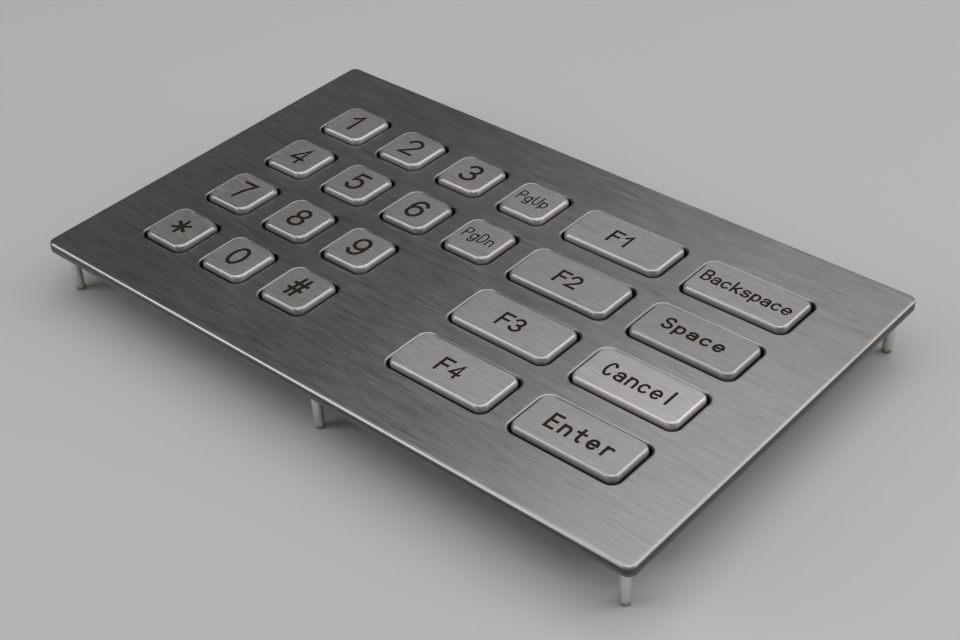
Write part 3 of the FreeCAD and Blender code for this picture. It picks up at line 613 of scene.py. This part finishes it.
LETTERS = {
    "0": [arc(0.5, 0.5, 0.5, 0.5, 90, 450)],
    "1": [[(0.08, 0.74), (0.58, 1), (0.58, 0)]],
    "2": [arc(0.5, 0.71, 0.5, 0.29, 170, -32) + [(0, 0), (1, 0)]],
    "3": [arc(0.48, 0.755, 0.46, 0.245, 160, -90), arc(0.48, 0.255, 0.52, 0.255, 90, -160)],
    "4": [[(0.74, 0), (0.74, 1), (0, 0.28), (1, 0.28)]],
    "5": [[(0.92, 1), (0.16, 1)] + arc(0.48, 0.33, 0.52, 0.33, 140, -155)],
    "6": [arc(0.5, 0.32, 0.5, 0.32, 90, 450), arc(0.53, 0.60, 0.53, 0.40, 35, 180) + [(0, 0.32)]],
    "7": [[(0, 1), (1, 1), (0.60, 0.50), (0.42, 0)]],
    "8": [arc(0.5, 0.765, 0.42, 0.235, 90, 450), arc(0.5, 0.265, 0.5, 0.265, 90, 450)],
    "9": [arc(0.5, 0.68, 0.5, 0.32, 90, 450), arc(0.47, 0.40, 0.53, 0.40, -145, 0) + [(1, 0.68)]],
    "*": [[(0.5, 0.12), (0.5, 0.88)], [(0.02, 0.31), (0.98, 0.69)], [(0.02, 0.69), (0.98, 0.31)]],
    "#": [
        [(0.20, 0), (0.36, 1)],
        [(0.64, 0), (0.80, 1)],
        [(0, 0.33), (0.96, 0.33)],
        [(0.04, 0.68), (1, 0.68)],
    ],
    "B": [
        [(0.55, 0.53), (0.02, 0.53)],
        [(0.55, 1), (0, 1), (0, 0), (0.52, 0)] + arc(0.52, 0.265, 0.48, 0.265, -90, 90),
        arc(0.55, 0.765, 0.38, 0.235, -90, 90),
    ],
    "C": [arc(0.5, 0.5, 0.5, 0.5, 42, 318)],
    "D": [[(0.42, 0), (0, 0), (0, 1), (0.42, 1)] + arc(0.42, 0.5, 0.58, 0.5, 90, -90)],
    "E": [[(1, 1), (0, 1), (0, 0), (1, 0)], [(0.02, 0.53), (0.86, 0.53)]],
    "F": [[(1, 1), (0, 1), (0, 0)], [(0.02, 0.52), (0.84, 0.52)]],
    "P": [[(0, 0), (0, 1), (0.55, 1)] + arc(0.55, 0.74, 0.45, 0.26, 90, -90) + [(0.02, 0.48)]],
    "S": [arc(0.5, 0.755, 0.46, 0.245, 25, 270) + arc(0.5, 0.255, 0.5, 0.255, 90, -155)[1:]],
    "U": [[(0, 1), (0, 0.36)] + arc(0.5, 0.36, 0.5, 0.36, 180, 360) + [(1, 1)]],
    "a": [
        arc(0.48, SMALL - 0.2, 0.46, 0.2, 155, 0) + [(0.94, 0)],
        arc(0.46, 0.175, 0.46, 0.175, 60, 300),
        [(0.66, 0.335), (0.92, 0.36)],
        [(0.66, 0.015), (0.92, 0.12)],
    ],
    "c": [arc(0.5, SMALL / 2, 0.5, SMALL / 2, 45, 315)],
    "e": [[(0.03, SMALL / 2)] + arc(0.5, SMALL / 2, 0.5, SMALL / 2, 0, 312)],
    "g": [
        arc(0.48, SMALL / 2, 0.48, SMALL / 2, 90, 450),
        [(0.96, SMALL), (0.96, -0.06)] + arc(0.48, -0.06, 0.48, 0.22, 0, -150),
    ],
    "k": [[(0.04, 0), (0.04, 1)], [(0.92, SMALL), (0.08, 0.22)], [(0.36, 0.36), (0.98, 0)]],
    "l": [[(0.5, 0), (0.5, 1)]],
    "n": [[(0.03, 0), (0.03, SMALL)], arc(0.5, SMALL - 0.24, 0.47, 0.24, 180, 0) + [(0.97, 0)]],
    "p": [[(0.03, -0.26), (0.03, SMALL)], arc(0.51, SMALL / 2, 0.48, SMALL / 2, 90, 450)],
    "r": [[(0.2, 0), (0.2, SMALL)], arc(0.68, SMALL - 0.28, 0.48, 0.28, 180, 62)],
    "s": [arc(0.5, 0.465, 0.42, 0.155, 25, 270) + arc(0.5, 0.155, 0.47, 0.155, 90, -155)[1:]],
    "t": [
        [(0.42, 0.9), (0.42, 0.22)] + arc(0.72, 0.22, 0.30, 0.22, 180, 285),
        [(0, SMALL), (0.92, SMALL)],
    ],
}

# How a legend is set: its letters' height and width, their pitch and the pen's width, and where its
# middle lies on the key, all in millimetres.
Setting = namedtuple("Setting", "height width pitch pen x y")
DIGIT = Setting(7.1, 4.6, 0, 0.95, -0.1, 0.15)
PAGE = Setting(3.9, 2.0, 2.35, 0.42, -0.35, 0.40)
FUNCTION = Setting(4.9, 3.1, 3.5, 0.76, -0.40, -0.20)
LEGENDS = {
    "key_1": ("1", DIGIT),
    "key_2": ("2", DIGIT),
    "key_3": ("3", DIGIT),
    "key_4": ("4", DIGIT),
    "key_5": ("5", DIGIT),
    "key_6": ("6", DIGIT),
    "key_7": ("7", DIGIT),
    "key_8": ("8", DIGIT),
    "key_9": ("9", DIGIT),
    "key_0": ("0", DIGIT),
    "key_star": ("*", DIGIT),
    "key_hash": ("#", DIGIT),
    "key_page_up": ("PgUp", PAGE),
    "key_page_down": ("PgDn", PAGE),
    "key_f1": ("F1", FUNCTION),
    "key_f2": ("F2", FUNCTION),
    "key_f3": ("F3", FUNCTION),
    "key_f4": ("F4", FUNCTION),
    "key_backspace": ("Backspace", Setting(4.25, 2.4, 2.63, 0.60, 0.0, 0.35)),
    "key_space": ("Space", Setting(4.25, 2.75, 3.33, 0.70, -0.45, 0.65)),
    "key_cancel": ("Cancel", Setting(4.8, 2.65, 3.1, 0.68, 0.2, 0.25)),
    "key_enter": ("Enter", Setting(4.9, 2.75, 3.5, 0.76, 0.55, 0.0)),
}
LEGEND_DEPTH = 0.15 * MM


def pen_path(points, pen):
    """The stroke's middle line with its side offsets: both ends run on by half the pen's width."""
    # A straight run ends where its arc starts: a point given twice has no direction, so it goes.
    nearest = pen / 100
    points = points[:1] + [
        point for before, point in zip(points, points[1:]) if (point - before).length > nearest
    ]
    closed = (points[0] - points[-1]).length < nearest
    if closed:
        points = points[:-1]
    else:
        first = points[0] + (points[0] - points[1]).normalized() * pen / 2
        last = points[-1] + (points[-1] - points[-2]).normalized() * pen / 2
        points = [first, *points[1:-1], last]
    count = len(points)
    sides = []
    for index, point in enumerate(points):
        before = points[index - 1] if index or closed else None
        after = points[(index + 1) % count] if index < count - 1 or closed else None
        into = (point - before).normalized() if before else (after - point).normalized()
        out = (after - point).normalized() if after else into
        along = (into + out).normalized()
        side = Vector((-along.y, along.x))
        # The offset is longer round a bend, up to twice as long at a sharp one.
        stretch = 1 / max(0.5, along.dot(into))
        sides.append(side * stretch * pen / 2)
    return points, sides, closed


def add_stroke(shell, points, pen, low, high):
    """A closed bar along the stroke, from height low to height high."""
    points, sides, closed = pen_path(points, pen)
    rings = []
    for point, side in zip(points, sides):
        left, right = point + side, point - side
        corners = [(left, low), (left, high), (right, high), (right, low)]
        rings.append([shell.verts.new((*flat, z)) for flat, z in corners])
    pairs = list(zip(rings, rings[1:])) + ([(rings[-1], rings[0])] if closed else [])
    for ring, following in pairs:
        for index in range(4):
            nearby = (index + 1) % 4
            shell.faces.new((ring[index], ring[nearby], following[nearby], following[index]))
    if not closed:
        shell.faces.new(rings[0])
        shell.faces.new(list(reversed(rings[-1])))


def legend_cutter(name, text, setting, centre, top):
    """The solid that a key's legend is cut with, one bar for each pen stroke."""
    pen = setting.pen * MM
    width, height = setting.width * MM - pen, setting.height * MM - pen
    shell = bmesh.new()
    for place, letter in enumerate(text):
        middle = setting.x * MM + (place - (len(text) - 1) / 2) * setting.pitch * MM
        left = centre.x + middle - width / 2
        base = centre.y + setting.y * MM - height / 2
        for stroke in LETTERS[letter]:
            points = [Vector((left + x * width, base + y * height)) for x, y in stroke]
            add_stroke(shell, points, pen, top - LEGEND_DEPTH, top + LEGEND_DEPTH)
    return to_object(name, shell, LEGEND_PAINT)


# ---- keys --------------------------------------------------------------------------------------

FLANGE_LAP = 1.75 * MM
FLANGE_THICKNESS = 0.9 * MM
FLANGE_CORNER = 2.4 * MM
KEY_CORNER = 1.85 * MM
KEY_ROUND = 0.52 * MM
KEY_DROP = 1.2 * MM
KEY_BREAK = 0.12 * MM
ROUND_STEPS = 14
SQUARE_TOP_CORNER = 2.7 * MM
WIDE_TOP_CORNER = 1.85 * MM
SQUARE_UP_TO = 1.1
# How light the keys are that differ from the others.
KEY_FINISH = {"key_cancel": 1.14, "key_space": 0.84, "key_enter": 0.90, "key_hash": 0.90}


def make_key(node):
    """A solid steel key with a rounded upper edge and its legend cut in and filled with paint."""
    low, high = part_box(node)
    centre = (low + high) / 2
    half_x, half_y = (high.x - low.x) / 2, (high.y - low.y) / 2
    cap_x, cap_y = half_x - FLANGE_LAP, half_y - FLANGE_LAP
    top_corner = SQUARE_TOP_CORNER if half_x < half_y * SQUARE_UP_TO else WIDE_TOP_CORNER
    flange_top = low.z + FLANGE_THICKNESS
    loops = []
    for inset, z in (
        (KEY_BREAK, low.z),
        (0, low.z + KEY_BREAK),
        (0, flange_top - KEY_BREAK),
        (KEY_BREAK, flange_top),
    ):
        loops.append(
            rounded_outline(half_x - inset, half_y - inset, FLANGE_CORNER - inset, z, centre)
        )
    loops.append(rounded_outline(cap_x, cap_y, KEY_CORNER, flange_top, centre))
    for step in range(ROUND_STEPS + 1):
        angle = math.radians(90 * step / ROUND_STEPS)
        inset = KEY_ROUND * (1 - math.cos(angle))
        z = high.z - KEY_DROP * (1 - math.sin(angle))
        corner = KEY_CORNER + (top_corner - KEY_CORNER) * step / ROUND_STEPS - inset * 0.5
        loops.append(rounded_outline(cap_x - inset, cap_y - inset, corner, z, centre))
    key = loft(f"{node}_cap", loops, KEY_STEEL)
    key["finish"] = KEY_FINISH.get(node, 1.0)
    text, setting = LEGENDS[node]
    carve(key, legend_cutter(f"{node}_cutter", text, setting, centre, high.z))
    mount(key, "key_steel", node, node)


# ---- studs, gasket, mat and snap domes ---------------------------------------------------------

# Each stud's outline from the tip up: a rounded tip, a shallow groove, the shank, a weld fillet and
# the flange that is welded to the plate.
STUD_PROFILE = [
    (0, 0), (0.60, 0.02), (0.92, 0.12), (1.12, 0.30), (1.22, 0.55), (1.25, 0.85), (1.25, 1.02),
    (1.20, 1.10), (1.20, 1.22), (1.25, 1.30), (1.25, 1.55), (1.25, 10.9), (1.29, 11.15),
    (1.42, 11.33), (1.72, 11.42), (1.80, 11.52), (1.80, 11.92), (1.72, 12.0), (0, 12.0),
]


def make_studs():
    shell = bmesh.new()
    for box in solids_of("mounting_studs"):
        profile = [(radius * MM, box[0].z + z * MM) for radius, z in STUD_PROFILE]
        add_turned(shell, profile, middle(box))
    mount(to_object("weld_studs", shell, STUD_STEEL), "stud_steel", "housing", "mounting_studs")


GASKET_CORNER = 5.0 * MM
GASKET_ROUND = 0.35 * MM
GASKET_LIP = 0.18 * MM


def make_gasket():
    """A moulded rubber ring: flat on the plate, with two low sealing lips towards the panel."""
    low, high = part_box("plate_gasket")
    centre, half = (low + high) / 2, (high - low) / 2
    rise, lip = high.z - low.z, GASKET_LIP
    outline = [
        (0.00, rise - 0.04 * MM), (0.00, GASKET_ROUND), (0.10 * MM, 0.08 * MM), (0.30 * MM, 0.0),
        (0.50 * MM, 0.05 * MM), (0.70 * MM, lip), (1.00 * MM, lip + 0.04 * MM), (1.30 * MM, lip),
        (1.50 * MM, 0.05 * MM), (1.70 * MM, 0.0), (1.90 * MM, 0.08 * MM), (2.00 * MM, GASKET_ROUND),
        (2.00 * MM, rise - 0.04 * MM), (1.96 * MM, rise), (0.04 * MM, rise),
    ]
    loops = [
        rounded_outline(half.x - inset, half.y - inset, GASKET_CORNER - inset, low.z + z, centre)
        for inset, z in outline
    ]
    ring = loft("panel_gasket", loops, GASKET_RUBBER, closed=True)
    mount(ring, "gasket_rubber", "housing", "plate_gasket")


# The mat's domes, as (radius, z) outlines: a skirt, and a roof with the nub under it.
MAT_BOTTOM, MAT_TOP, MAT_CORNER = 9.1 * MM, 9.9 * MM, 3.0 * MM
SKIRT_PROFILE = [
    (3.60, 9.90), (4.50, 9.90), (4.44, 10.02), (4.30, 10.16), (3.80, 10.76), (3.64, 10.93),
    (3.50, 10.98), (3.40, 10.92), (3.40, 10.46), (3.50, 10.26), (3.60, 10.05),
]
ROOF_PROFILE = [
    (0, 8.95), (1.12, 8.95), (1.24, 8.99), (1.30, 9.09), (1.30, 10.22), (1.36, 10.34),
    (1.50, 10.40), (3.20, 10.40), (3.31, 10.46), (3.34, 10.60), (3.34, 10.84), (3.46, 10.91),
    (3.43, 10.96), (3.30, 11.0), (0, 11.0),
]
SKIRT_KEPT = 0.6
SNAP_KEPT = 0.15
SNAP_SKIN = 0.08 * MM
SNAP_RINGS = 8
SNAP_CROWN = 0.85
MAT_EDGE = 0.1 * MM
MAT_HOLES = {"snap_domes": 3.6 * MM, "plate_bosses": 2.3 * MM}


def in_metres(profile):
    return [(radius * MM, z * MM) for radius, z in profile]


def snap_profile(low, high):
    """The thin outline of a domed disc that stands on its rim."""
    rim = (high.x - low.x) / 2
    upper = []
    for step in range(SNAP_RINGS + 1):
        radius = rim * (1 - step / SNAP_RINGS)
        crown = (1 - (radius / rim) ** 2) ** SNAP_CROWN
        upper.append((radius, low.z + SNAP_SKIN + (high.z - low.z - SNAP_SKIN) * crown))
    return upper + [(radius, z - SNAP_SKIN) for radius, z in reversed(upper)]


def make_mat():
    """The sheet between the domes, pierced over each switch and round each boss."""
    low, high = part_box("silicone_mat")
    centre, half = (low + high) / 2, (high - low) / 2
    loops = []
    for inset, z in (
        (MAT_EDGE, MAT_BOTTOM),
        (0, MAT_BOTTOM + MAT_EDGE),
        (0, MAT_TOP - MAT_EDGE),
        (MAT_EDGE, MAT_TOP),
    ):
        loops.append(
            rounded_outline(half.x - inset, half.y - inset, MAT_CORNER - inset, z, centre)
        )
    sheet = loft("mat_sheet", loops, SILICONE)
    holes = bmesh.new()
    for node, radius in MAT_HOLES.items():
        for box in solids_of(node):
            add_disc(holes, 0, radius, MAT_BOTTOM - 1 * MM, MAT_TOP + 1 * MM, middle(box))
    carve(sheet, to_object("mat_holes", holes, SILICONE))
    mount(sheet, "silicone", "housing", "silicone_mat")


def make_switches(node):
    """What one key presses: the mat's skirts and roofs, and the snap domes under them."""
    low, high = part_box(node)
    under = [
        box for box in solids_of("snap_domes")
        if low.x < middle(box).x < high.x and low.y < middle(box).y < high.y
    ]
    skirts, roofs, snaps = bmesh.new(), bmesh.new(), bmesh.new()
    for box in under:
        add_turned(skirts, in_metres(SKIRT_PROFILE), middle(box))
        add_turned(roofs, in_metres(ROOF_PROFILE), middle(box))
        add_turned(snaps, snap_profile(*box), middle(box))
    mount(to_object(f"{node}_mat_roof", roofs, SILICONE), "silicone", node)
    for name, shell, material, slot, replaced, anchor, keep in (
        (f"{node}_mat_skirt", skirts, SILICONE, "silicone", "silicone_mat", MAT_TOP, SKIRT_KEPT),
        (f"{node}_snap", snaps, BRIGHT_STEEL, "dome_steel", "snap_domes", under[0][0].z, SNAP_KEPT),
    ):
        piece = to_object(name, shell, material)
        mount(piece, slot, "housing", replaced)
        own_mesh(piece)


# ---- circuit board and what is soldered to it --------------------------------------------------

# How far the metal stands proud of the board, and the radii and reaches of its rings and pads.
COPPER_RISE = 0.03 * MM
TRACE = 0.3 * MM
RING_INNER, RING_OUTER = 3.5 * MM, 4.25 * MM
CENTRE_PAD = 1.1 * MM
TRACE_START = 4.3 * MM
COLUMN_SHIFT = 5.0 * MM
VIA_INNER, VIA_OUTER = 0.2 * MM, 0.45 * MM
VIA_STEPS = 16
PIN_INNER, PIN_OUTER = 0.4 * MM, 0.8 * MM
PAD_REACH = 0.55 * MM
SAME_LINE = 1 * MM


def add_bar(shell, start, end, width, low, high):
    add_stroke(shell, [Vector(start), Vector(end)], width, low, high)


def make_copper():
    """Contact rings under the domes, the matrix lines between them, and the pads on the back."""
    board_low, board_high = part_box("circuit_board")
    front, back = board_high.z, board_low.z
    gold, lines = bmesh.new(), bmesh.new()
    places = [middle(box) for box in solids_of("snap_domes")]
    for place in places:
        add_disc(gold, RING_INNER, RING_OUTER, front, front + COPPER_RISE, place)
        add_disc(gold, 0, CENTRE_PAD, front, front + COPPER_RISE, place, SMALL_TURN_STEPS)
    trace_top, trace_bottom = front + COPPER_RISE / 2, back - COPPER_RISE / 2
    for row in sorted({round(place.y, 5) for place in places}):
        across = sorted(place.x for place in places if abs(place.y - row) < SAME_LINE)
        for left, right in zip(across, across[1:]):
            start, end = (left + TRACE_START, row), (right - TRACE_START, row)
            add_bar(lines, start, end, TRACE, front, trace_top)
    for column in sorted({round(place.x, 5) for place in places}):
        along = sorted(place.y for place in places if abs(place.x - column) < SAME_LINE)
        side = column + COLUMN_SHIFT
        add_bar(lines, (side, along[0]), (side, along[-1]), TRACE, trace_bottom, back)
        for y in along:
            spot = Vector((side, y, 0))
            add_disc(gold, VIA_INNER, VIA_OUTER, back - COPPER_RISE, back, spot, VIA_STEPS)
    for node in ("chip_resistors", "chip_capacitors", "steering_diodes"):
        for low, high in solids_of(node):
            long = 0 if high.x - low.x > high.y - low.y else 1
            for side in (-1, 1):
                pad = (low + high) / 2
                reach = (high - low) / 2
                pad[long] += side * reach[long]
                grow = Vector((reach.x, reach.y, 0))
                grow[long] = PAD_REACH
                pad_low, pad_high = pad - grow, pad + grow
                pad_low.z, pad_high.z = back - COPPER_RISE, back
                add_block(gold, pad_low, pad_high, 0.1 * MM, 0.005 * MM)
    for box in solids_of("socket_pins"):
        centre = middle(box)
        add_disc(gold, PIN_INNER, PIN_OUTER, back - COPPER_RISE, back, centre, SMALL_TURN_STEPS)
    mount(to_object("board_contacts", gold, GOLD), "tinned_leads", "housing")
    mount(to_object("board_traces", lines, BOARD_TRACE), "board_laminate", "housing")


DIMPLE_INSET = 1.3 * MM
DIMPLE_PROFILE = [(0, -0.1), (0.55, -0.1), (0.5, 0.08), (0, 0.1)]


def make_chip():
    """A moulded square package with drafted sides and a dimple that marks its first lead."""
    low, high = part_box("controller_chip")
    centre, half = (low + high) / 2, (high - low) / 2
    waist = (low.z + high.z) / 2
    loops = [
        rounded_outline(half.x - inset, half.y - inset, 0.25 * MM, z, centre, SMALL_STEPS)
        for inset, z in (
            (0.24 * MM, low.z), (0.17 * MM, low.z + 0.07 * MM), (0.0, waist - 0.05 * MM),
            (0.0, waist + 0.05 * MM), (0.15 * MM, high.z),
        )
    ]
    chip = loft("chip_package", loops, CHIP_EPOXY)
    dimple = bmesh.new()
    spot = Vector((low.x + DIMPLE_INSET, low.y + DIMPLE_INSET, 0))
    outline = [(radius * MM, low.z + z * MM) for radius, z in DIMPLE_PROFILE]
    add_turned(dimple, outline, spot, SMALL_TURN_STEPS)
    carve(chip, to_object("chip_dimple", dimple, CHIP_EPOXY))
    mount(chip, "chip_epoxy", "housing", "controller_chip")


def make_crystal():
    """A low metal can with a seam flange at its foot."""
    low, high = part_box("timing_crystal")
    shell = bmesh.new()
    inset = Vector((0.25 * MM, 0.25 * MM, 0))
    add_block(shell, low + inset, high - inset, 0.9 * MM, 0.15 * MM, 6)
    add_block(shell, Vector((low.x, low.y, high.z - 0.25 * MM)), high, 1.1 * MM, 0.04 * MM, 6)
    mount(to_object("crystal_can", shell, BRIGHT_STEEL), "crystal_can", "housing", "timing_crystal")


def make_chip_parts():
    """Small two-ended parts: a body, and a wrapped metal cap or a folded lead at each end."""
    for name, node, slot, material, share, shrink in (
        ("resistor", "chip_resistors", "resistor_ceramic", CHIP_EPOXY, 0.2, 0.03 * MM),
        ("capacitor", "chip_capacitors", "capacitor_ceramic", CERAMIC, 0.22, 0.04 * MM),
        ("diode", "steering_diodes", "chip_epoxy", CHIP_EPOXY, 0.1, 0.10 * MM),
    ):
        bodies, ends = bmesh.new(), bmesh.new()
        for low, high in solids_of(node):
            long = 0 if high.x - low.x > high.y - low.y else 1
            length = high[long] - low[long]
            inner_low, inner_high = low.copy(), high.copy()
            for axis in range(3):
                inner_low[axis] += length * share if axis == long else shrink * (axis != 2)
                inner_high[axis] -= length * share if axis == long else shrink * (axis != 2)
            inner_low.z += shrink / 2
            add_block(bodies, inner_low, inner_high, 0.06 * MM, 0.04 * MM)
            for start, end in ((low[long], inner_low[long]), (inner_high[long], high[long])):
                cap_low, cap_high = low.copy(), high.copy()
                cap_low[long], cap_high[long] = start, end
                if name == "diode":
                    cap_low.z = high.z - 0.45 * MM
                add_block(ends, cap_low, cap_high, 0.08 * MM, 0.04 * MM)
        mount(to_object(f"{name}_bodies", bodies, material), slot, "housing", node)
        mount(to_object(f"{name}_ends", ends, TIN), "tinned_leads", "housing", node)


# ---- screws and washers ------------------------------------------------------------------------

SCREW_RADIUS = 1.25 * MM
THREAD_PITCH = 0.45 * MM
THREAD_DEPTH = 0.14 * MM
TIP_CHAMFER = 0.4 * MM
HEAD_STEPS = 8
HEAD_FLAT = 0.5
HEAD_CURVE = 0.6
HEAD_EDGE = 0.08 * MM
COVER_HEAD_HEIGHT = 1.5 * MM
BOARD_HEAD_HEIGHT = 1.2 * MM
RECESS_DEPTH = 0.8 * MM
# Each pair of arms of the cross recess, from outside the head down to the recess's floor, as
# (half length, half width, share of the depth).
RECESS_ARMS = [(1.26, 0.34, -0.4), (1.18, 0.30, 0.0), (0.66, 0.22, 0.85), (0.30, 0.12, 1.0)]
WASHER_EDGE = 0.06 * MM
WASHER_BORE = 1.4 * MM


def screw_profile(head_radius, bottom, head_top, tip):
    """A pan head with a rounded rim, then a threaded shank up to a chamfered tip.

    The head is flat out to the share HEAD_FLAT of its radius, and curves up from there to the
    share HEAD_CURVE of its height.
    """
    outline = [(0, bottom)]
    rim_height = HEAD_CURVE * (head_top - bottom)
    for step in range(HEAD_STEPS + 1):
        angle = math.radians(90 * step / HEAD_STEPS)
        radius = head_radius * (HEAD_FLAT + (1 - HEAD_FLAT) * math.sin(angle))
        outline.append((radius, bottom + rim_height * (1 - math.cos(angle))))
    outline += [
        (head_radius, head_top - HEAD_EDGE),
        (head_radius - HEAD_EDGE, head_top),
        (SCREW_RADIUS, head_top),
    ]
    turns = int((tip - head_top) / THREAD_PITCH) - 1
    for turn in range(turns):
        crest = head_top + (turn + 0.5) * THREAD_PITCH
        outline += [(SCREW_RADIUS, crest), (SCREW_RADIUS - THREAD_DEPTH, crest + THREAD_PITCH / 2)]
    return outline + [(SCREW_RADIUS - TIP_CHAMFER, tip), (0, tip)]


def add_recess(shell, centre, bottom):
    """Two crossed tapering bars, as a screwdriver's tip would fill them."""
    for crossed in (False, True):
        loops = []
        for long, short, depth in RECESS_ARMS:
            half_x, half_y = (short, long) if crossed else (long, short)
            loops.append(rounded_outline(
                half_x * MM, half_y * MM, short * MM / 2, bottom + depth * RECESS_DEPTH,
                centre, SMALL_STEPS,
            ))
        add_loft(shell, loops)


def make_screws(node, head_height):
    screws, recesses = bmesh.new(), bmesh.new()
    for box in solids_of(node):
        bottom, centre = box[0].z, middle(box)
        head_radius = (box[1].x - box[0].x) / 2
        outline = screw_profile(head_radius, bottom, bottom + head_height, box[1].z)
        add_turned(screws, outline, centre)
        add_recess(recesses, centre, bottom)
    made = to_object(f"{node}_turned", screws, BRIGHT_STEEL)
    carve(made, to_object(f"{node}_recesses", recesses, BRIGHT_STEEL))
    mount(made, "screw_steel", "housing", node)


def make_washers(node):
    rings = bmesh.new()
    for low, high in solids_of(node):
        rim, soft = (high.x - low.x) / 2, WASHER_EDGE
        add_turned(rings, [
            (WASHER_BORE, low.z + soft), (WASHER_BORE + soft, low.z),
            (rim - soft, low.z), (rim, low.z + soft),
            (rim, high.z - soft), (rim - soft, high.z),
            (WASHER_BORE + soft, high.z), (WASHER_BORE, high.z - soft),
        ], (low + high) / 2)
    mount(to_object(f"{node}_turned", rings, BRIGHT_STEEL), "screw_steel", "housing", node)


add_camera()
make_floor()
add_lights()
bpy.context.scene.view_settings.view_transform = "Standard"
finish_nodes()
make_studs()
make_gasket()
make_mat()
make_copper()
make_chip()
make_crystal()
make_chip_parts()
make_screws("cover_screws", COVER_HEAD_HEIGHT)
make_screws("board_screws", BOARD_HEAD_HEIGHT)
make_washers("cover_washers")
make_washers("board_washers")
for key_node in LEGENDS:
    make_key(key_node)
    make_switches(key_node)
